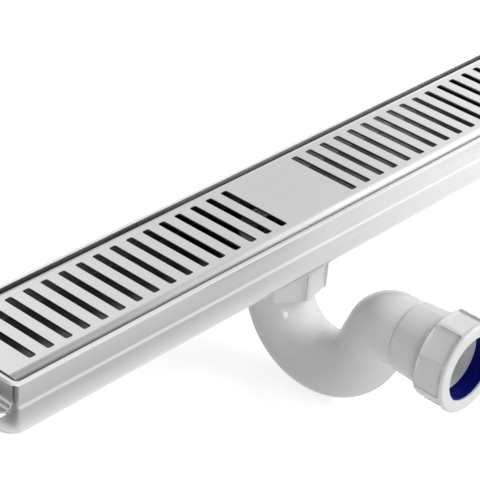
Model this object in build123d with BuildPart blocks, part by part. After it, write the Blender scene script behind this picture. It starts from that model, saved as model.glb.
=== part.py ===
from build123d import *
from math import atan, cos, degrees, radians, sin, tan
import os

# Linear shower drain with a folded grate and a white trap.
# Origin: middle of the four fixing slots, on the flange's underside.
# X runs along the channel, Y across it, Z up.
# The trap hangs under the middle and its outlet points to -Y. Millimetres.

# Cover grate: folded sheet, open at its ends, with two groups of cross slots
grate_length = 550.0
grate_width = 70.0
grate_sheet = 1.5
grate_bend = 4.0
grate_corner = 3.0
slot_count = 16
slot_pitch = 14.5
slot_width = 5.8
slot_length = 53.6
slot_corner = 1.4
slot_first = 35.0

# Pan: pressed trough with a ledge for the grate and a lip over the upstands
side_gap = 3.3
end_gap = 0.9
rim_drop = 1.0
pan_sheet = 1.2
pan_corner = 3.5
pan_depth = 20.0
ledge_width = 5.0
gutter_depth = 10.0
floor_fall = 3.5
floor_flat = 90.0

# Frame: flat flange with four upstands folded from its opening
frame_sheet = 1.5
frame_play = 0.3
frame_bend = 2.0
end_bend = 4.5
flange_level = 17.0
flange_reach = 15.7
flange_end_reach = 18.1
flange_corner = 10.0
long_stand_cut = 2.2
end_stand_cut = 3.5
relief_radius = 2.4
fix_slot_length = 10.0
fix_slot_width = 4.2
fix_slot_across = 77.0
fix_slot_inset = 10.0

# Waste through the pan's floor
tail_radius = 23.75
tail_wall = 3.0
waste_flange_play = 2.3
waste_flange_height = 2.5
waste_recess = 1.3
upper_washer_height = 1.5
lower_washer_height = 2.0
backnut_height = 7.0
backnut_flange_height = 2.2
backnut_across_flats = 57.0

# Hair strainer in the waste's throat
strainer_play = 0.6
strainer_wall = 1.4
strainer_height = 15.0
strainer_slots = 12
strainer_slot_width = 3.0
strainer_slot_height = 9.0
strainer_bar = 2.2

# Grip nuts: eight flat facets sunk between narrow ribs, each facet deeper at one side
nut_radius = 31.3
nut_low_radius = 29.8
nut_high_radius = 30.8
nut_facets = 8
nut_rib_angle = 3.0
nut_facet_corner = 2.0
nut_rim_radius = 30.0
nut_rim = 0.8
nut_ring_width = 2.8
nut_edge_round = 1.8
thread_play = 0.3

# Inlet nut on the waste's tail
inlet_nut_gap = 1.2
inlet_nut_height = 24.6
inlet_nut_lip = 2.6
inlet_rib_angle = 13.2
inlet_seal_height = 2.0
collar_height = 3.0
collar_radius = 23.7

# Trap bend
pipe_radius = 22.7
pipe_wall = 2.4
lip_play = 0.25
u_radius = 41.1
u_turn = 156.6
rise_length = 31.3
elbow_radius = 13.0
elbow_swell = 0.9
socket_start = 19.9
socket_step = 1.6
socket_front_radius = 25.7
socket_edge = 0.8
socket_length = 40.5
socket_stop = 31.0
socket_thread_radius = 25.1
socket_thread_length = 17.5

# Outlet nut and its seal, for a 43 mm waste pipe
waste_pipe_radius = 21.5
socket_play = 0.4
seal_play = 0.1
outlet_nut_gap = 2.1
outlet_nut_height = 23.4
outlet_nut_lip = 1.8
outlet_mouth_radius = 22.7
outlet_mouth_round = 0.6
outlet_rib_angle = 21.0
seal_length = 11.7
seal_tail_wall = 0.6
seal_lip_width = 0.8
seal_seat_play = 0.15

# Places worked out from the sizes above
grate_half = grate_width / 2
grate_end = grate_length / 2
wall_y = grate_half + side_gap
wall_x = grate_end + end_gap
lip_out = pan_sheet + frame_play + frame_sheet
stand_y = wall_y + lip_out
stand_x = wall_x + lip_out
flange_y = stand_y + flange_reach
flange_x = stand_x + flange_end_reach
grate_top_z = flange_level + frame_sheet
rim_z = grate_top_z - rim_drop
lip_z = rim_z - pan_sheet
flange_z = grate_top_z - flange_level
ledge_z = grate_top_z - pan_depth
gutter_y = wall_y - ledge_width
gutter_x = wall_x - ledge_width
gutter_end_z = ledge_z - gutter_depth
floor_z = gutter_end_z - floor_fall
under_z = floor_z - pan_sheet
waste_seat_z = floor_z + upper_washer_height
waste_top_z = waste_seat_z + waste_flange_height
lower_washer_z = under_z - lower_washer_height
backnut_low_z = lower_washer_z - backnut_height
inlet_nut_top_z = backnut_low_z - inlet_nut_gap
inlet_nut_low_z = inlet_nut_top_z - inlet_nut_height
collar_low_z = inlet_nut_low_z + inlet_nut_lip
collar_top_z = collar_low_z + collar_height
tail_end_z = collar_top_z + inlet_seal_height
waste_flange_radius = gutter_y - waste_flange_play
throat_radius = tail_radius - tail_wall
bore_radius = pipe_radius - pipe_wall
u_top_z = inlet_nut_low_z - 1.0
turn = radians(u_turn)
u_end_y = -u_radius + u_radius * cos(turn)
u_end_z = u_top_z - u_radius * sin(turn)
elbow_y = u_end_y - rise_length * sin(turn)
elbow_z = u_end_z - rise_length * cos(turn)
elbow_turn = u_turn - 90.0
elbow_reach = elbow_radius * tan(radians(elbow_turn / 2))
socket_y = elbow_y - socket_start
thread_y = socket_y - (socket_length - socket_thread_length)
socket_end_y = socket_y - socket_length
outlet_nut_y = thread_y - outlet_nut_gap
outlet_face_y = outlet_nut_y - outlet_nut_height
lip_inner_y = outlet_face_y + outlet_nut_lip
seal_back_y = lip_inner_y + seal_length
seal_bore = waste_pipe_radius + seal_play
socket_bore = waste_pipe_radius + socket_play
seal_outer = socket_thread_radius


def toward_outlet(y):
    # plane across the outlet at y, facing the way the water leaves
    return Plane(origin=(0, y, elbow_z), x_dir=(1, 0, 0), z_dir=(0, -1, 0))


def facing_down(z):
    # plane across the inlet at z, facing down
    return Plane(origin=(0, 0, z), x_dir=(1, 0, 0), z_dir=(0, 0, -1))


def grip_facets(place, first_angle, start, length):
    # cutters for the facets of a nut that stands on a plane: each lies between two ribs, is
    # deepest beside the first of them, and has rounded corners
    step = 360.0 / nut_facets
    with BuildPart() as cuts:
        for i in range(nut_facets):
            a0 = radians(first_angle + i * step + nut_rib_angle / 2)
            a1 = radians(first_angle + (i + 1) * step - nut_rib_angle / 2)
            low = Vector(nut_low_radius * cos(a0), nut_low_radius * sin(a0), start)
            high = Vector(nut_high_radius * cos(a1), nut_high_radius * sin(a1), start)
            along = high - low
            outward = Vector(along.Y, -along.X, 0)
            corner = place.from_local_coords(low)
            facet = Plane(
                origin=corner,
                x_dir=place.from_local_coords(high) - corner,
                z_dir=place.from_local_coords(low + outward) - corner,
            )
            run = place.z_dir.dot(facet.y_dir) * length
            with BuildSketch(facet):
                with Locations((along.length / 2, run / 2)):
                    RectangleRounded(along.length, length, nut_facet_corner)
            extrude(amount=nut_radius)
    return cuts


# Cover grate
with BuildPart() as cover_grate:
    with BuildSketch(Plane.YZ.offset(-grate_end)) as grate_section:
        with BuildLine():
            half = grate_half - grate_sheet / 2
            foot_z = ledge_z
            top_z = grate_top_z - grate_sheet / 2
            FilletPolyline(
                (-half, foot_z),
                (-half, top_z),
                (half, top_z),
                (half, foot_z),
                radius=grate_bend - grate_sheet / 2,
            )
        trace(line_width=grate_sheet)
    extrude(amount=grate_length)
    # plan outline with rounded corners trims the ends of the folds
    with BuildSketch(Plane.XY.offset(ledge_z)):
        RectangleRounded(grate_length, grate_width, grate_corner)
    extrude(amount=pan_depth, mode=Mode.INTERSECT)
    with BuildSketch(Plane.XY.offset(grate_top_z - 2 * grate_sheet)):
        slot_middle = slot_first + (slot_count - 1) * slot_pitch / 2
        for side in (-1, 1):
            with Locations((side * slot_middle, 0)):
                with GridLocations(slot_pitch, 1, slot_count, 1):
                    RectangleRounded(slot_width, slot_length, slot_corner)
    extrude(amount=3 * grate_sheet, mode=Mode.SUBTRACT)
cover_grate.part.label = "cover_grate"

# Channel pan
with BuildPart() as channel_pan:
    # upper trough, outside
    with BuildSketch(Plane.XY.offset(ledge_z - pan_sheet)):
        RectangleRounded(
            2 * (wall_x + pan_sheet), 2 * (wall_y + pan_sheet), pan_corner + pan_sheet
        )
    extrude(amount=pan_depth + pan_sheet - rim_drop)
    # lip over the upstands
    with BuildSketch(Plane.XY.offset(lip_z)):
        RectangleRounded(2 * stand_x, 2 * stand_y, pan_corner + lip_out)
    extrude(amount=pan_sheet)
    fillet(channel_pan.faces().sort_by(Axis.Z)[-1].outer_wire().edges(), radius=0.9 * pan_sheet)
    # sloping gutter, outside
    with BuildSketch(Plane.XZ.offset(-gutter_y - pan_sheet)):
        Polygon(
            (-gutter_x - pan_sheet, ledge_z),
            (-gutter_x - pan_sheet, gutter_end_z - pan_sheet),
            (-floor_flat / 2, under_z),
            (floor_flat / 2, under_z),
            (gutter_x + pan_sheet, gutter_end_z - pan_sheet),
            (gutter_x + pan_sheet, ledge_z),
            align=None,
        )
    extrude(amount=2 * (gutter_y + pan_sheet))
    # hollow of the upper trough
    with BuildSketch(Plane.XY.offset(ledge_z)):
        RectangleRounded(2 * wall_x, 2 * wall_y, pan_corner)
    extrude(amount=pan_depth, mode=Mode.SUBTRACT)
    # hollow of the gutter
    with BuildSketch(Plane.XZ.offset(-gutter_y)):
        Polygon(
            (-gutter_x, ledge_z + pan_sheet),
            (-gutter_x, gutter_end_z),
            (-floor_flat / 2, floor_z),
            (floor_flat / 2, floor_z),
            (gutter_x, gutter_end_z),
            (gutter_x, ledge_z + pan_sheet),
            align=None,
        )
    extrude(amount=2 * gutter_y, mode=Mode.SUBTRACT)
    # hole for the waste's tail
    with BuildSketch(Plane.XY.offset(under_z - pan_sheet)):
        Circle(tail_radius + frame_play)
    extrude(amount=3 * pan_sheet, mode=Mode.SUBTRACT)
channel_pan.part.label = "channel_pan"

# Flange frame
with BuildPart() as flange_frame:
    with BuildSketch(Plane.XY.offset(flange_z - frame_sheet)):
        RectangleRounded(2 * flange_x, 2 * flange_y, flange_corner)
        long_cut = 2 * (stand_x - long_stand_cut)
        end_cut = 2 * (stand_y - end_stand_cut)
        Rectangle(long_cut, 2 * (stand_y + frame_bend), mode=Mode.SUBTRACT)
        Rectangle(2 * (stand_x + end_bend), end_cut, mode=Mode.SUBTRACT)
        Rectangle(
            2 * (stand_x - frame_sheet), 2 * (stand_y - frame_sheet), mode=Mode.SUBTRACT
        )
        with GridLocations(
            2 * (stand_x - frame_sheet), 2 * (stand_y - frame_sheet), 2, 2
        ):
            Circle(relief_radius, mode=Mode.SUBTRACT)
        with GridLocations(2 * (flange_x - fix_slot_inset), fix_slot_across, 2, 2):
            SlotOverall(fix_slot_length, fix_slot_width, mode=Mode.SUBTRACT)
    extrude(amount=frame_sheet)
    # upstands: each bends up from the flange and stops under the pan's lip
    bend_mid = frame_bend + frame_sheet / 2
    flange_mid_z = flange_z - frame_sheet / 2
    for side in (-1, 1):
        mid_y = side * (stand_y - frame_sheet / 2)
        with BuildSketch(Plane.YZ.offset(-long_cut / 2)):
            with BuildLine():
                FilletPolyline(
                    (mid_y, lip_z),
                    (mid_y, flange_mid_z),
                    (mid_y + side * (bend_mid + frame_sheet), flange_mid_z),
                    radius=bend_mid,
                )
            trace(line_width=frame_sheet)
        extrude(amount=long_cut)
        mid_x = side * (stand_x - frame_sheet / 2)
        end_bend_mid = end_bend + frame_sheet / 2
        with BuildSketch(Plane.XZ.offset(-end_cut / 2)):
            with BuildLine():
                FilletPolyline(
                    (mid_x, lip_z),
                    (mid_x, flange_mid_z),
                    (mid_x + side * (end_bend_mid + frame_sheet), flange_mid_z),
                    radius=end_bend_mid,
                )
            trace(line_width=frame_sheet)
        extrude(amount=end_cut)
flange_frame.part.label = "flange_frame"

# Waste body: flange on the pan's floor, recess for the strainer, threaded tail
with BuildPart() as waste_body:
    with BuildSketch(Plane.XY.offset(waste_seat_z)):
        Circle(waste_flange_radius)
    extrude(amount=waste_flange_height)
    fillet(waste_body.edges().group_by(Axis.Z)[-1], radius=1.0)
    with BuildSketch(Plane.XY.offset(tail_end_z)):
        Circle(tail_radius)
    extrude(amount=waste_seat_z - tail_end_z)
    with BuildSketch(Plane.XY.offset(tail_end_z)):
        Circle(throat_radius)
    extrude(amount=waste_top_z - tail_end_z, mode=Mode.SUBTRACT)
    with BuildSketch(Plane.XY.offset(waste_top_z - waste_recess)):
        Circle(tail_radius)
    extrude(amount=waste_recess, mode=Mode.SUBTRACT)
waste_body.part.label = "waste_body"


def ring_washer(low_z, height, outer, inner):
    # flat ring about the waste's axis
    with BuildPart() as ring:
        with BuildSketch(Plane.XY.offset(low_z)):
            Circle(outer)
            Circle(inner, mode=Mode.SUBTRACT)
        extrude(amount=height)
    return ring


washer_bore = tail_radius + frame_play
upper_washer = ring_washer(floor_z, upper_washer_height, waste_flange_radius, washer_bore)
upper_washer.part.label = "upper_washer"
lower_washer = ring_washer(lower_washer_z, lower_washer_height, waste_flange_radius, washer_bore)
lower_washer.part.label = "lower_washer"
inlet_seal = ring_washer(collar_top_z, inlet_seal_height, collar_radius, throat_radius)
inlet_seal.part.label = "inlet_seal"

# Backnut: round flange and six flats
with BuildPart() as waste_backnut:
    with BuildSketch(Plane.XY.offset(backnut_low_z)):
        RegularPolygon(backnut_across_flats / 2, 6, major_radius=False)
    extrude(amount=backnut_height)
    with BuildSketch(Plane.XY.offset(lower_washer_z - backnut_flange_height)):
        Circle(waste_flange_radius)
    extrude(amount=backnut_flange_height)
    with BuildSketch(Plane.XY.offset(backnut_low_z)):
        Circle(tail_radius + thread_play)
    extrude(amount=backnut_height, mode=Mode.SUBTRACT)
waste_backnut.part.label = "waste_backnut"

# Hair strainer: slotted cup with a rim in the waste's recess and a lifting bar
with BuildPart() as hair_strainer:
    cup_radius = throat_radius - strainer_play
    cup_low_z = waste_top_z - strainer_height
    with BuildSketch(Plane.XY.offset(cup_low_z)):
        Circle(cup_radius)
    extrude(amount=strainer_height)
    with BuildSketch(Plane.XY.offset(waste_top_z - waste_recess)):
        Circle(tail_radius - strainer_play)
    extrude(amount=waste_recess)
    with BuildSketch(Plane.XY.offset(cup_low_z + strainer_wall)):
        Circle(cup_radius - strainer_wall)
    extrude(amount=strainer_height, mode=Mode.SUBTRACT)
    with BuildSketch(Plane.XY.offset(cup_low_z - strainer_wall)):
        with PolarLocations(cup_radius * 0.7, strainer_slots):
            SlotOverall(cup_radius * 0.35, strainer_slot_width)
    extrude(amount=3 * strainer_wall, mode=Mode.SUBTRACT)
    with BuildSketch(Plane.XY.offset(cup_low_z + 2 * strainer_wall)):
        with PolarLocations(cup_radius, strainer_slots):
            Rectangle(4 * strainer_wall, strainer_slot_width)
    extrude(amount=strainer_slot_height, mode=Mode.SUBTRACT)
    with BuildSketch(Plane.YZ.offset(-cup_radius + strainer_wall / 2)):
        with Locations((0, waste_top_z - strainer_bar / 2)):
            Rectangle(strainer_bar, strainer_bar)
    extrude(amount=2 * cup_radius - strainer_wall)
hair_strainer.part.label = "hair_strainer"

# Inlet nut: screws up on the waste's tail and lifts the trap's collar
with BuildPart() as inlet_nut:
    inlet_place = facing_down(inlet_nut_top_z)
    with BuildSketch(inlet_place):
        Circle(nut_radius)
    extrude(amount=inlet_nut_height)
    fillet(inlet_nut.edges().sort_by(Axis.Z)[0], radius=nut_edge_round)
    # the facets run out past the nut's lower end
    inlet_facets = grip_facets(inlet_place, inlet_rib_angle, nut_ring_width, inlet_nut_height)
    add(inlet_facets.part, mode=Mode.SUBTRACT)
    with BuildSketch(inlet_place):
        Circle(tail_radius + thread_play)
    extrude(amount=inlet_nut_height - inlet_nut_lip, mode=Mode.SUBTRACT)
    with BuildSketch(inlet_place):
        Circle(pipe_radius + lip_play)
    extrude(amount=inlet_nut_height, mode=Mode.SUBTRACT)
inlet_nut.part.label = "inlet_nut"


def tube_run(radius, swell, extra):
    # leg, U, rising leg, elbow and outlet run of the trap as one solid of a given radius,
    # which swells towards the elbow
    rise_run = rise_length - elbow_reach
    outlet_run = socket_start - elbow_reach
    with BuildPart() as tube:
        with BuildSketch(Plane.XY.offset(u_top_z)):
            Circle(radius)
        extrude(amount=collar_top_z - u_top_z + extra)
        with BuildSketch(Plane.XY.offset(u_top_z)):
            Circle(radius)
        revolve(axis=Axis((0, -u_radius, u_top_z), (-1, 0, 0)), revolution_arc=u_turn)
        rise = (0, -sin(turn), -cos(turn))
        with BuildSketch(Plane(origin=(0, u_end_y, u_end_z), x_dir=(1, 0, 0), z_dir=rise)):
            Circle(radius)
        extrude(amount=rise_run, taper=-degrees(atan(swell / rise_run)))
        # the elbow is tighter than the tube, so only the tube's outer side turns round it
        bend_y = elbow_y + elbow_reach * sin(turn)
        bend_z = elbow_z + elbow_reach * cos(turn)
        with BuildSketch(Plane(origin=(0, bend_y, bend_z), x_dir=(1, 0, 0), z_dir=rise)):
            Circle(radius + swell)
            with Locations((0, -elbow_radius)):
                Rectangle(
                    3 * radius, radius, align=(Align.CENTER, Align.MAX), mode=Mode.SUBTRACT
                )
        pivot = (0, elbow_y - elbow_reach, elbow_z - elbow_radius)
        revolve(axis=Axis(pivot, (1, 0, 0)), revolution_arc=elbow_turn)
        with BuildSketch(toward_outlet(elbow_y - elbow_reach)):
            Circle(radius + swell)
        extrude(amount=outlet_run + extra, taper=degrees(atan(swell / outlet_run)))
    return tube


# Trap bend: one moulding from the inlet's collar to the outlet's threaded socket
with BuildPart() as trap_bend:
    add(tube_run(pipe_radius, elbow_swell, 0.0).part)
    with BuildSketch(Plane.XY.offset(collar_low_z)):
        Circle(collar_radius)
    extrude(amount=collar_height)
    # socket: a step up from the elbow, wider towards the nut, then the threaded end
    with BuildSketch(Plane.YZ):
        bell_radius = pipe_radius + socket_step
        Polygon(
            (socket_y, elbow_z),
            (socket_y, elbow_z + bell_radius - socket_edge),
            (socket_y - socket_edge, elbow_z + bell_radius),
            (thread_y, elbow_z + socket_front_radius),
            (thread_y, elbow_z + socket_thread_radius),
            (socket_end_y, elbow_z + socket_thread_radius),
            (socket_end_y, elbow_z),
            align=None,
        )
    revolve(axis=Axis((0, socket_y, elbow_z), (0, 1, 0)))
with BuildPart() as waterway:
    add(tube_run(bore_radius, 0.0, 1.0).part)
    with BuildSketch(Plane.YZ):
        stop_y = socket_end_y + socket_stop
        Polygon(
            (stop_y + socket_start, elbow_z),
            (stop_y + socket_start, elbow_z + bore_radius),
            (stop_y, elbow_z + bore_radius),
            (stop_y, elbow_z + socket_bore),
            (seal_back_y + seal_seat_play, elbow_z + socket_bore),
            (seal_back_y + seal_seat_play, elbow_z + seal_bore + seal_tail_wall + seal_seat_play),
            (socket_end_y, elbow_z + seal_outer - seal_lip_width),
            (socket_end_y - 1, elbow_z + seal_outer - seal_lip_width),
            (socket_end_y - 1, elbow_z),
            align=None,
        )
    revolve(axis=Axis((0, socket_y, elbow_z), (0, 1, 0)))
trap_bend.part = trap_bend.part - waterway.part
trap_bend.part.label = "trap_bend"

# Outlet seal: ring behind the nut's lip with a tapered tail in the socket's mouth
with BuildPart() as outlet_seal:
    with BuildSketch(Plane.YZ):
        Polygon(
            (lip_inner_y, elbow_z + seal_bore),
            (lip_inner_y, elbow_z + seal_outer),
            (socket_end_y - seal_seat_play, elbow_z + seal_outer),
            (socket_end_y - seal_seat_play, elbow_z + seal_outer - seal_lip_width - seal_seat_play),
            (seal_back_y, elbow_z + seal_bore + seal_tail_wall),
            (seal_back_y, elbow_z + seal_bore),
            align=None,
        )
    revolve(axis=Axis((0, socket_y, elbow_z), (0, 1, 0)))
outlet_seal.part.label = "outlet_seal"

# Outlet nut: screws on the socket and presses the seal on the waste pipe
with BuildPart() as outlet_nut:
    outlet_place = toward_outlet(outlet_nut_y)
    with BuildSketch(toward_outlet(outlet_nut_y - nut_rim)):
        Circle(nut_radius)
    extrude(amount=outlet_nut_height - nut_rim)
    fillet(outlet_nut.faces().sort_by(Axis.Y)[0].edges(), radius=nut_edge_round)
    facet_length = outlet_nut_height - nut_rim - nut_ring_width
    outlet_facets = grip_facets(outlet_place, outlet_rib_angle, nut_rim, facet_length)
    add(outlet_facets.part, mode=Mode.SUBTRACT)
    with BuildSketch(outlet_place):
        Circle(nut_rim_radius)
    extrude(amount=nut_rim)
    with BuildSketch(outlet_place):
        Circle(socket_thread_radius + thread_play)
    extrude(amount=outlet_nut_height - outlet_nut_lip, mode=Mode.SUBTRACT)
    with BuildSketch(outlet_place):
        Circle(outlet_mouth_radius)
    extrude(amount=outlet_nut_height, mode=Mode.SUBTRACT)
    mouth = outlet_nut.faces().sort_by(Axis.Y)[0].inner_wires()[0].edges()
    fillet(mouth, radius=outlet_mouth_round)
outlet_nut.part.label = "outlet_nut"

os.makedirs("parts", exist_ok=True)
export_step(cover_grate.part, "parts/cover_grate.step")
export_step(channel_pan.part, "parts/channel_pan.step")
export_step(flange_frame.part, "parts/flange_frame.step")
export_step(waste_body.part, "parts/waste_body.step")
export_step(upper_washer.part, "parts/upper_washer.step")
export_step(lower_washer.part, "parts/lower_washer.step")
export_step(waste_backnut.part, "parts/waste_backnut.step")
export_step(hair_strainer.part, "parts/hair_strainer.step")
export_step(inlet_nut.part, "parts/inlet_nut.step")
export_step(inlet_seal.part, "parts/inlet_seal.step")
export_step(trap_bend.part, "parts/trap_bend.step")
export_step(outlet_nut.part, "parts/outlet_nut.step")
export_step(outlet_seal.part, "parts/outlet_seal.step")
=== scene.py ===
import math

import bpy
from mathutils import Matrix, Vector


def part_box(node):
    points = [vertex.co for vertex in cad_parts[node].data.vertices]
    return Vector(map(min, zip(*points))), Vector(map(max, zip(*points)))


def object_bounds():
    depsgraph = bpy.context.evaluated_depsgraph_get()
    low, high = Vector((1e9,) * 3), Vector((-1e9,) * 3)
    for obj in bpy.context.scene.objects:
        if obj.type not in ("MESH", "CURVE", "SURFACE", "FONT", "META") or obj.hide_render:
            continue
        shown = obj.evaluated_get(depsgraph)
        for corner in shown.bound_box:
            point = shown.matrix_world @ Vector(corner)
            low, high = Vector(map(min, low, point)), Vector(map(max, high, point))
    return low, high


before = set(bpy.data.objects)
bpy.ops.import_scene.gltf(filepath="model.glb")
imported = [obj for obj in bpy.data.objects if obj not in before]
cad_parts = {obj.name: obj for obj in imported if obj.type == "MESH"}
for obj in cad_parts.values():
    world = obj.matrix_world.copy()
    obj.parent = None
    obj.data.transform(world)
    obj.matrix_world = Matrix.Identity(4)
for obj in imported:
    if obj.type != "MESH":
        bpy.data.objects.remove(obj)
cad_low, cad_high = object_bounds()

# Channel pan. One stainless sheet, pressed into a trough with a ledge all round and rolled
# over at the rim. The rim and outside are satin. The inside is painted darker in patches as
# painted shade, with a painted paler strip; the rim is painted brighter to the right and on
# the far side, and the walls below it are painted darker.
pan_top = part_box("channel_pan")[1].z
pan_colour = (0.76, 0.76, 0.76)
pan_inside_shaded_colour = (0.55, 0.55, 0.55)
pan_roughness = 0.30
pan_grain = (0.06, 0.0012, 0.0012)
ledge_depth = 0.019
# along the channel: a place in metres, and how bright the sheet is painted there
painted_floor_shade = (
    (-0.28, 0.36),
    (-0.085, 0.34),
    (-0.05, 0.03),
    (-0.03, 0.03),
    (0.045, 0.66),
    (0.11, 0.68),
    (0.165, 1.05),
    (0.21, 0.75),
    (0.243, 0.02),
)
painted_floor_light = ((-0.28, 1.0), (-0.12, 0.75), (-0.06, 0.45), (-0.045, 0.0))
painted_near_rim_light = ((-0.28, 1.03), (0.0, 1.0), (0.10, 1.10), (0.28, 1.18))
painted_far_rim_light = ((-0.28, 1.04), (-0.12, 1.06), (-0.05, 1.27), (0.28, 1.27))
painted_wall_top_light = 1.3
painted_wall_foot_shade = 0.4
painted_outside_shade = 0.62


def put_material(node_name, material):
    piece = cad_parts[node_name]
    piece.data.materials.clear()
    piece.data.materials.append(material)


def new_material(name):
    material = bpy.data.materials.new(name)
    material.use_nodes = True
    tree = material.node_tree
    return material, tree, tree.nodes["Principled BSDF"]


def feed(tree, source, socket):
    # a node's output is linked, a plain number or colour is set
    if isinstance(source, bpy.types.NodeSocket):
        tree.links.new(source, socket)
    else:
        socket.default_value = source


def place_on_drain(tree):
    return tree.nodes.new("ShaderNodeTexCoord").outputs["Object"]


def way_it_faces(tree):
    return tree.nodes.new("ShaderNodeNewGeometry").outputs["Normal"]


def along_axes(tree, vector):
    parts = tree.nodes.new("ShaderNodeSeparateXYZ")
    tree.links.new(vector, parts.inputs["Vector"])
    return parts.outputs["X"], parts.outputs["Y"], parts.outputs["Z"]


def mottle(tree, place, mark_size, detail):
    # mark_size is the size of a mark along X, Y and Z, in metres
    mapping = tree.nodes.new("ShaderNodeMapping")
    mapping.inputs["Scale"].default_value = [1 / size for size in mark_size]
    tree.links.new(place, mapping.inputs["Vector"])
    marks = tree.nodes.new("ShaderNodeTexNoise")
    marks.inputs["Scale"].default_value = 1.0
    marks.inputs["Detail"].default_value = detail
    tree.links.new(mapping.outputs["Vector"], marks.inputs["Vector"])
    return marks.outputs["Fac"]


def fade(tree, source, start, end, level_at_start, level_at_end):
    change = tree.nodes.new("ShaderNodeMapRange")
    change.interpolation_type = "SMOOTHSTEP"
    change.inputs["From Min"].default_value = start
    change.inputs["From Max"].default_value = end
    change.inputs["To Min"].default_value = level_at_start
    change.inputs["To Max"].default_value = level_at_end
    tree.links.new(source, change.inputs["Value"])
    return change.outputs["Result"]


def work_out(tree, operation, first, second=0.0):
    step = tree.nodes.new("ShaderNodeMath")
    step.operation = operation
    feed(tree, first, step.inputs[0])
    feed(tree, second, step.inputs[1])
    return step.outputs["Value"]


def times(tree, first, second):
    return work_out(tree, "MULTIPLY", first, second)


def larger(tree, first, second):
    return work_out(tree, "MAXIMUM", first, second)


def rest_of(tree, share):
    return work_out(tree, "SUBTRACT", 1.0, share)


def blend(tree, share, first, second, kind="FLOAT"):
    # first where the share is 0, second where it is 1
    mixed = tree.nodes.new("ShaderNodeMix")
    mixed.data_type = kind
    tree.links.new(share, mixed.inputs["Factor"])
    feed(tree, first, mixed.inputs["A"])
    feed(tree, second, mixed.inputs["B"])
    return mixed.outputs["Result"]


def tone(tree, colour, level):
    tint = tree.nodes.new("ShaderNodeVectorMath")
    tint.operation = "SCALE"
    feed(tree, colour, tint.inputs[0])
    tree.links.new(level, tint.inputs["Scale"])
    return tint.outputs["Vector"]


def along_channel(tree, x, stops):
    # the level at each place along the channel, smooth between the stops
    first_x = stops[0][0]
    last_x = stops[-1][0]
    position = tree.nodes.new("ShaderNodeMapRange")
    position.inputs["From Min"].default_value = first_x
    position.inputs["From Max"].default_value = last_x
    tree.links.new(x, position.inputs["Value"])
    ramp = tree.nodes.new("ShaderNodeValToRGB")
    ramp.color_ramp.interpolation = "EASE"
    marks = ramp.color_ramp.elements
    while len(marks) < len(stops):
        marks.new(0.5)
    for mark, (stop_x, level) in zip(marks, stops):
        mark.position = (stop_x - first_x) / (last_x - first_x)
        mark.color = (level, level, level, 1)
    tree.links.new(position.outputs["Result"], ramp.inputs["Fac"])
    return ramp.outputs["Color"]


def looks_outward(tree, place, facing):
    # 1 on a face that looks away from the channel's middle, -1 on one that looks towards it
    return times(tree, work_out(tree, "SIGN", place), facing)


def rolled_sheet(tree, shader, place, grain):
    # grain of the rolled sheet, as relief and as the slight shade between its streaks
    shader.inputs["Metallic"].default_value = 1.0
    streaks = mottle(tree, place, grain, 3.0)
    relief = tree.nodes.new("ShaderNodeBump")
    relief.inputs["Strength"].default_value = 0.35
    relief.inputs["Distance"].default_value = 0.00002
    tree.links.new(streaks, relief.inputs["Height"])
    tree.links.new(relief.outputs["Normal"], shader.inputs["Normal"])
    return fade(tree, streaks, 0.25, 0.75, 0.965, 1.02)


def handled_finish(tree, shader, place, roughness):
    # broad slow clouds from handling
    clouds = mottle(tree, place, (0.05, 0.03, 0.03), 2.0)
    finish = fade(tree, clouds, 0.3, 0.7, roughness - 0.03, roughness + 0.05)
    tree.links.new(finish, shader.inputs["Roughness"])


pan_steel, tree, shader = new_material("pan_satin_steel")
place = place_on_drain(tree)
grain_shade = rolled_sheet(tree, shader, place, pan_grain)
handled_finish(tree, shader, place, pan_roughness)
x, y, z = along_axes(tree, place)
facing_x, facing_y, facing_z = along_axes(tree, way_it_faces(tree))
# inside: below the ledge, on faces that look up or towards the middle of the trough
depth = work_out(tree, "SUBTRACT", pan_top, z)
below_ledge = fade(tree, depth, ledge_depth - 0.001, ledge_depth + 0.001, 0.0, 1.0)
looks_in_y = times(tree, looks_outward(tree, y, facing_y), -1.0)
looks_in_x = times(tree, looks_outward(tree, x, facing_x), -1.0)
inner_wall = fade(tree, larger(tree, looks_in_y, looks_in_x), 0.3, 0.6, 0.0, 1.0)
looks_up = fade(tree, facing_z, 0.3, 0.6, 0.0, 1.0)
inside = times(tree, below_ledge, larger(tree, inner_wall, looks_up))
# painted shade in patches along the floor, and a painted paler strip on its near half at the
# left end
near_half = fade(tree, y, 0.004, 0.018, 1.6, 0.0)
strip = times(tree, along_channel(tree, x, painted_floor_light), near_half)
painted_inside_shade = work_out(tree, "ADD", along_channel(tree, x, painted_floor_shade), strip)
# painted highlight: the rim painted brighter towards the right, more so on the far side
far_side = fade(tree, y, 0.0, 0.036, 0.0, 1.0)
painted_rim_light_and_shade = blend(
    tree, far_side, along_channel(tree, x, painted_near_rim_light), along_channel(tree, x, painted_far_rim_light)
)
# painted shade: the wall behind the grate's fold is painted lighter at its top and darker
# downwards
painted_wall_shade = fade(tree, depth, -0.001, 0.0055, painted_wall_top_light, painted_wall_foot_shade)
painted_rim_light_and_shade = times(tree, painted_rim_light_and_shade, blend(tree, inner_wall, 1.0, painted_wall_shade))
# painted shade on the outside below the rim, seen at the corners
upright = fade(tree, work_out(tree, "ABSOLUTE", facing_z), 0.2, 0.5, 1.0, 0.0)
outer_wall = times(tree, upright, rest_of(tree, inner_wall))
below_rim = fade(tree, depth, 0.0014, 0.0022, 0.0, painted_outside_shade)
painted_rim_light_and_shade = times(tree, painted_rim_light_and_shade, rest_of(tree, times(tree, outer_wall, below_rim)))
sheet = blend(
    tree,
    inside,
    tone(tree, pan_colour, painted_rim_light_and_shade),
    tone(tree, pan_inside_shaded_colour, painted_inside_shade),
    kind="RGBA",
)
tree.links.new(tone(tree, sheet, grain_shade), shader.inputs["Base Color"])
put_material("channel_pan", pan_steel)

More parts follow.
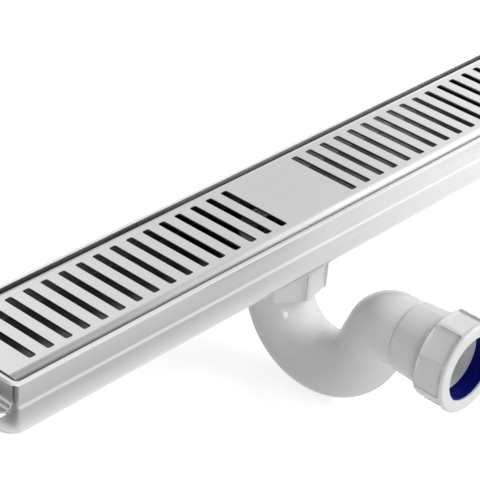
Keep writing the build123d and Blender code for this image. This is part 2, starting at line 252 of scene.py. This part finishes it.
# Flange frame. Flat stainless sheet with a long opening, its four upstands folded up under
# the pan's rim, corners relieved by round holes, one fixing slot punched at each corner.
flange_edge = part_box("flange_frame")[1].y
flange_colour = (0.76, 0.76, 0.76)
flange_roughness = 0.32
flange_grain = (0.08, 0.0010, 0.0010)
painted_right_end_light = 1.12
painted_edge_highlight = 1.22
flange_steel, tree, shader = new_material("flange_satin_steel")
place = place_on_drain(tree)
grain_shade = rolled_sheet(tree, shader, place, flange_grain)
handled_finish(tree, shader, place, flange_roughness)
x, y = along_axes(tree, place)[:2]
# painted shade beside the bend and painted light towards the outer edge, at the left end
from_middle = work_out(tree, "ABSOLUTE", y)
beside_bend = fade(tree, from_middle, 0.0435, 0.056, -0.09, 0.05)
left_end = fade(tree, x, -0.12, 0.0, 1.0, 0.0)
painted_bend_shade = work_out(tree, "ADD", times(tree, beside_bend, left_end), 1.0)
flange_shade = times(tree, grain_shade, painted_bend_shade)
# painted light: paler towards the right end
flange_shade = times(tree, flange_shade, fade(tree, x, -0.08, 0.16, 1.0, painted_right_end_light))
# painted highlight on the sheared outer edge
painted_edge_light = fade(
    tree, from_middle, flange_edge - 0.0004, flange_edge - 0.0001, 1.0, painted_edge_highlight
)
flange_shade = times(tree, flange_shade, painted_edge_light)
tree.links.new(tone(tree, flange_colour, flange_shade), shader.inputs["Base Color"])
put_material("flange_frame", flange_steel)

# Waste body and backnut. Injection moulded in white plastic; the backnut screws up the
# waste's tail and clamps the pan's floor against the waste's flange.
white_colour = (0.86, 0.86, 0.855)


def moulded_plastic(name, colour, roughness, edge_round, darkest_flow):
    plastic, tree, shader = new_material(name)
    shader.inputs["Roughness"].default_value = roughness
    place = place_on_drain(tree)
    # faint flow marks of the melt, and the slight ripple of a moulded skin
    flow = mottle(tree, place, (0.03, 0.03, 0.03), 2.0)
    flow_shade = fade(tree, flow, 0.3, 0.7, darkest_flow, 1.0)
    tree.links.new(tone(tree, colour, flow_shade), shader.inputs["Base Color"])
    ripple = mottle(tree, place, (0.006, 0.006, 0.006), 1.0)
    edges = tree.nodes.new("ShaderNodeBevel")
    edges.samples = 4
    edges.inputs["Radius"].default_value = edge_round
    skin = tree.nodes.new("ShaderNodeBump")
    skin.inputs["Strength"].default_value = 0.2
    skin.inputs["Distance"].default_value = 0.00005
    tree.links.new(ripple, skin.inputs["Height"])
    tree.links.new(edges.outputs["Normal"], skin.inputs["Normal"])
    tree.links.new(skin.outputs["Normal"], shader.inputs["Normal"])
    return plastic


waste_plastic = moulded_plastic("waste_white_plastic", white_colour, 0.3, 0.0003, 0.975)
for part in ("waste_body", "waste_backnut"):
    put_material(part, waste_plastic)

# Washers and inlet seal. Flat rings punched from dark grey rubber sheet, squeezed between
# the waste, the pan's floor and the backnut, and between the waste's tail and the trap.
rubber_colour = (0.03, 0.03, 0.032)
washer_rubber = moulded_plastic("grey_washer_rubber", rubber_colour, 0.55, 0.0002, 0.8)
for part in ("upper_washer", "lower_washer", "inlet_seal"):
    put_material(part, washer_rubber)

# Hair strainer. Thin stainless cup, slotted round its wall and floor, that drops into the
# waste's throat and lifts out by its bar.
cup_colour = (0.42, 0.42, 0.42)
cup_roughness = 0.28
cup_grain = (0.010, 0.0010, 0.0010)
cup_steel, tree, shader = new_material("strainer_steel")
place = place_on_drain(tree)
grain_shade = rolled_sheet(tree, shader, place, cup_grain)
handled_finish(tree, shader, place, cup_roughness)
tree.links.new(tone(tree, cup_colour, grain_shade), shader.inputs["Base Color"])
put_material("hair_strainer", cup_steel)

# Cover grate. One thicker sheet with its long sides folded down and two groups of slots
# punched across it. Its flat top is brushed lengthwise. The folds carry painted reflection,
# darker towards the left end and brighter to the right, and the underside painted shade.
grate_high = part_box("cover_grate")[1]
grate_top = grate_high.z
fold_begins = grate_high.y - 0.0042
grate_colour = (0.70, 0.70, 0.70)
grate_roughness = 0.29
scuffed_roughness = 0.65
painted_underside_shade = 0.16
grate_grain = (0.045, 0.0007, 0.0007)
painted_fold_reflection = (
    (-0.275, 0.52),
    (-0.20, 0.60),
    (-0.12, 0.82),
    (-0.03, 1.06),
    (0.02, 1.22),
    (0.275, 1.26),
)
painted_fold_side_light = ((-0.275, 0.75), (-0.12, 1.0), (-0.02, 1.3), (0.275, 1.38))
painted_inner_fold_shade = (
    (-0.275, 0.44),
    (-0.12, 0.42),
    (-0.07, 0.10),
    (-0.03, 0.20),
    (0.05, 1.1),
    (0.17, 1.25),
    (0.20, 0.30),
    (0.275, 0.15),
)
grate_steel, tree, shader = new_material("grate_brushed_steel")
place = place_on_drain(tree)
grain_shade = rolled_sheet(tree, shader, place, grate_grain)
x, y, z = along_axes(tree, place)
facing_y = along_axes(tree, way_it_faces(tree))[1]
from_middle = work_out(tree, "ABSOLUTE", y)
outward = looks_outward(tree, y, facing_y)
fold = fade(tree, from_middle, fold_begins - 0.0008, fold_begins + 0.0016, 0.0, 1.0)
# the fold's outer side, below its round, is scuffed dull against the rim
low_on_fold = times(tree, fade(tree, z, grate_top - 0.0026, grate_top - 0.0012, 1.0, 0.0), fold)
scuffed_and_painted_side = times(tree, low_on_fold, fade(tree, outward, 0.2, 0.6, 0.0, 1.0))
finish = fade(tree, scuffed_and_painted_side, 0.0, 1.0, grate_roughness, scuffed_roughness)
tree.links.new(finish, shader.inputs["Roughness"])
# painted reflection: the folds are painted darker to the left and brighter to the right
grate_shade = times(
    tree, grain_shade, blend(tree, fold, 1.0, along_channel(tree, x, painted_fold_reflection))
)
# painted shade on the cut walls of the slots and the underside
under_top = fade(tree, z, grate_top - 0.0014, grate_top - 0.0008, painted_underside_shade, 1.0)
flat_top = fade(tree, from_middle, fold_begins, fold_begins + 0.001, 1.0, 0.0)
grate_shade = times(tree, grate_shade, blend(tree, flat_top, 1.0, under_top))
# painted light and shade on the fold's scuffed outer side, darker to the left and brighter to
# the right
grate_shade = blend(tree, scuffed_and_painted_side, grate_shade, along_channel(tree, x, painted_fold_side_light))
# painted shade and light on the inner faces of the folds, like the painted pan below them
inner_face = fade(tree, outward, -0.6, -0.3, 1.0, 0.0)
grate_shade = blend(tree, inner_face, grate_shade, along_channel(tree, x, painted_inner_fold_shade))
tree.links.new(tone(tree, grate_colour, grate_shade), shader.inputs["Base Color"])
put_material("cover_grate", grate_steel)

# Trap bend. One glossy white moulding from the inlet's collar round the U to the outlet's
# socket, pushed up onto the waste's tail and held there by the inlet nut.
trap_plastic = moulded_plastic("trap_white_plastic", white_colour, 0.2, 0.0004, 0.975)
put_material("trap_bend", trap_plastic)

# Grip nuts. Moulded in white plastic, a little less glossy than the trap, with flats between
# raised ribs for the hand. One hangs the trap on the waste, one squeezes the outlet's seal.
nut_plastic = moulded_plastic("nut_white_plastic", white_colour, 0.28, 0.0005, 0.98)
for part in ("inlet_nut", "outlet_nut"):
    put_material(part, nut_plastic)

# Outlet seal. Dark blue rubber ring with a tapered outside, pressed onto the waste pipe
# behind the outlet nut's lip.
seal_colour = (0.0, 0.002, 0.16)
seal_rubber = moulded_plastic("seal_blue_rubber", seal_colour, 0.45, 0.0003, 0.8)
seal_shader = seal_rubber.node_tree.nodes["Principled BSDF"]
seal_shader.inputs["Specular IOR Level"].default_value = 0.15
put_material("outlet_seal", seal_rubber)

# Studio floor. Pale paper just under the trap. What the camera sees is lifted to white and
# keeps the object's shadow; what the steel mirrors is an even paper, brighter to the right,
# behind and in front.
floor_size = 12.0
floor_gap = 0.0005
paper_colour = (0.82, 0.82, 0.82, 1)
lift_to_white = 0.70
bpy.ops.mesh.primitive_plane_add(size=floor_size, location=(0, 0, cad_low.z - floor_gap))
floor = bpy.context.object
floor.name = "floor"
paper, tree, shader = new_material("floor_paper")
tree.nodes.remove(shader)
matt = tree.nodes.new("ShaderNodeBsdfDiffuse")
matt.inputs["Color"].default_value = paper_colour
rays = tree.nodes.new("ShaderNodeLightPath").outputs
seen = larger(tree, rays["Is Camera Ray"], rays["Is Transmission Ray"])
lift = tree.nodes.new("ShaderNodeEmission")
tree.links.new(times(tree, seen, lift_to_white), lift.inputs["Strength"])
seen_paper = tree.nodes.new("ShaderNodeAddShader")
tree.links.new(matt.outputs["BSDF"], seen_paper.inputs[0])
tree.links.new(lift.outputs["Emission"], seen_paper.inputs[1])
mirrored = tree.nodes.new("ShaderNodeEmission")
x, y = along_axes(tree, place_on_drain(tree))[:2]
to_right = fade(tree, x, 0.0, 0.45, 0.74, 1.0)
to_back = fade(tree, y, -0.05, 0.15, 0.0, 1.0)
to_front = fade(tree, y, -0.18, -0.12, 0.86, 0.0)
mirrored_level = larger(tree, larger(tree, to_right, to_back), to_front)
tree.links.new(mirrored_level, mirrored.inputs["Strength"])
either = tree.nodes.new("ShaderNodeMixShader")
tree.links.new(rays["Is Glossy Ray"], either.inputs["Fac"])
tree.links.new(seen_paper.outputs["Shader"], either.inputs[1])
tree.links.new(mirrored.outputs["Emission"], either.inputs[2])
tree.links.new(either.outputs["Shader"], tree.nodes["Material Output"].inputs["Surface"])
floor.data.materials.append(paper)

# Studio walls. White all round, plain and even, as the camera and the gloss see them; they
# give only a little soft light of their own.
soft_light = 0.19
world = bpy.data.worlds.new("studio")
bpy.context.scene.world = world
world.use_nodes = True
tree = world.node_tree
around = tree.nodes["Background"]
around.inputs["Color"].default_value = (1, 1, 1, 1)
rays = tree.nodes.new("ShaderNodeLightPath").outputs
direct = larger(tree, rays["Is Camera Ray"], rays["Is Glossy Ray"])
direct = larger(tree, direct, rays["Is Transmission Ray"])
level = tree.nodes.new("ShaderNodeMapRange")
level.inputs["To Min"].default_value = soft_light
level.inputs["To Max"].default_value = 1.0
tree.links.new(direct, level.inputs["Value"])
tree.links.new(level.outputs["Result"], around.inputs["Strength"])

# Cards. Plain boards that only the steel and the gloss mirror: a broad one behind, darker in
# its middle, a broad one in front for the near wall, brighter to the right, and a dark one
# low at the left that gives the end wall its edge.
back_levels = (
    (-0.2, 1.14),
    (0.31, 1.14),
    (0.40, 1.0),
    (0.49, 0.90),
    (0.56, 0.80),
    (0.62, 0.76),
    (0.70, 0.98),
    (0.78, 1.2),
    (1.4, 1.2),
)
front_levels = (
    (0.3, 1.08),
    (0.43, 1.02),
    (0.52, 0.99),
    (0.60, 1.10),
    (0.68, 1.22),
    (0.75, 1.32),
    (0.87, 1.40),
)
end_levels = ((-1, 0.12), (1, 0.12))


def card(name, place, aim, width, height, levels):
    bpy.ops.mesh.primitive_plane_add(size=1)
    board = bpy.context.object
    board.name = name
    board.scale = (width, height, 1)
    board.location = place
    board.rotation_mode = "QUATERNION"
    board.rotation_quaternion = (Vector(aim) - Vector(place)).to_track_quat("Z", "Y")
    sheet, tree, shader = new_material(name + "_paper")
    tree.nodes.remove(shader)
    glow = tree.nodes.new("ShaderNodeEmission")
    position = tree.nodes.new("ShaderNodeNewGeometry").outputs["Position"]
    x = along_axes(tree, position)[0]
    tree.links.new(along_channel(tree, x, levels), glow.inputs["Strength"])
    tree.links.new(glow.outputs["Emission"], tree.nodes["Material Output"].inputs["Surface"])
    board.data.materials.append(sheet)
    board.visible_camera = False
    board.visible_diffuse = False
    board.visible_shadow = False


card("back_card", (0.60, 0.48, 0.46), (0, 0, 0), 2.2, 1.0, back_levels)
card("end_card", (-0.50, 0.24, 0.24), (-0.28, 0, 0), 0.34, 0.34, end_levels)
card("front_card", (0.62, -0.52, 0.50), (0, 0, 0), 2.0, 0.9, front_levels)


# Lamps. The key lights the plastic from the front right and the top lamp lights what looks
# up, both unseen in the gloss. The small fill stands low on the camera's side, and the strip
# only puts highlights on the folds.
def soft_lamp(name, place, aim, size, watts):
    lamp = bpy.data.lights.new(name, "AREA")
    lamp.shape = "RECTANGLE"
    lamp.size = size
    lamp.size_y = size
    lamp.energy = watts
    lamp_object = bpy.data.objects.new(name, lamp)
    bpy.context.scene.collection.objects.link(lamp_object)
    lamp_object.location = place
    lamp_object.rotation_mode = "QUATERNION"
    lamp_object.rotation_quaternion = (Vector(aim) - Vector(place)).to_track_quat("-Z", "Y")
    return lamp_object


key_lamp = soft_lamp("key_lamp", (1.1, -1.2, 1.3), (0, -0.05, -0.03), 1.2, 27)
key_lamp.visible_glossy = False
top_lamp = soft_lamp("top_lamp", (0, -0.2, 1.9), (0, -0.05, -0.03), 1.2, 7.5)
top_lamp.visible_glossy = False
soft_lamp("fill_lamp", (-0.92, -1.14, 0.08), (0, -0.05, -0.05), 0.35, 3.9)
strip_lamp = soft_lamp("strip_lamp", (1.25, -0.34, 1.2), (0, 0, -0.02), 0.5, 2.2)
strip_lamp.visible_diffuse = False

# Camera. A long lens that looks down from the front left and is rolled a little, so that
# the channel runs up to the right across the picture.
lens = 157.551
film_width = 36.0
camera_place = (-0.93183, -0.73319, 0.71237)
camera_azimuth = 50.3953
camera_elevation = 31.8178
camera_roll = 5.0803
camera_data = bpy.data.cameras.new("camera")
camera_data.lens = lens
camera_data.sensor_width = film_width
camera_data.clip_start = 0.05
camera_data.clip_end = 40.0
camera = bpy.data.objects.new("camera", camera_data)
bpy.context.scene.collection.objects.link(camera)
camera.matrix_world = (
    Matrix.Translation(camera_place)
    @ Matrix.Rotation(math.radians(-camera_azimuth), 4, "Z")
    @ Matrix.Rotation(math.radians(90 - camera_elevation), 4, "X")
    @ Matrix.Rotation(math.radians(camera_roll), 4, "Z")
)
bpy.context.scene.camera = camera
bpy.context.scene.view_settings.view_transform = "Standard"
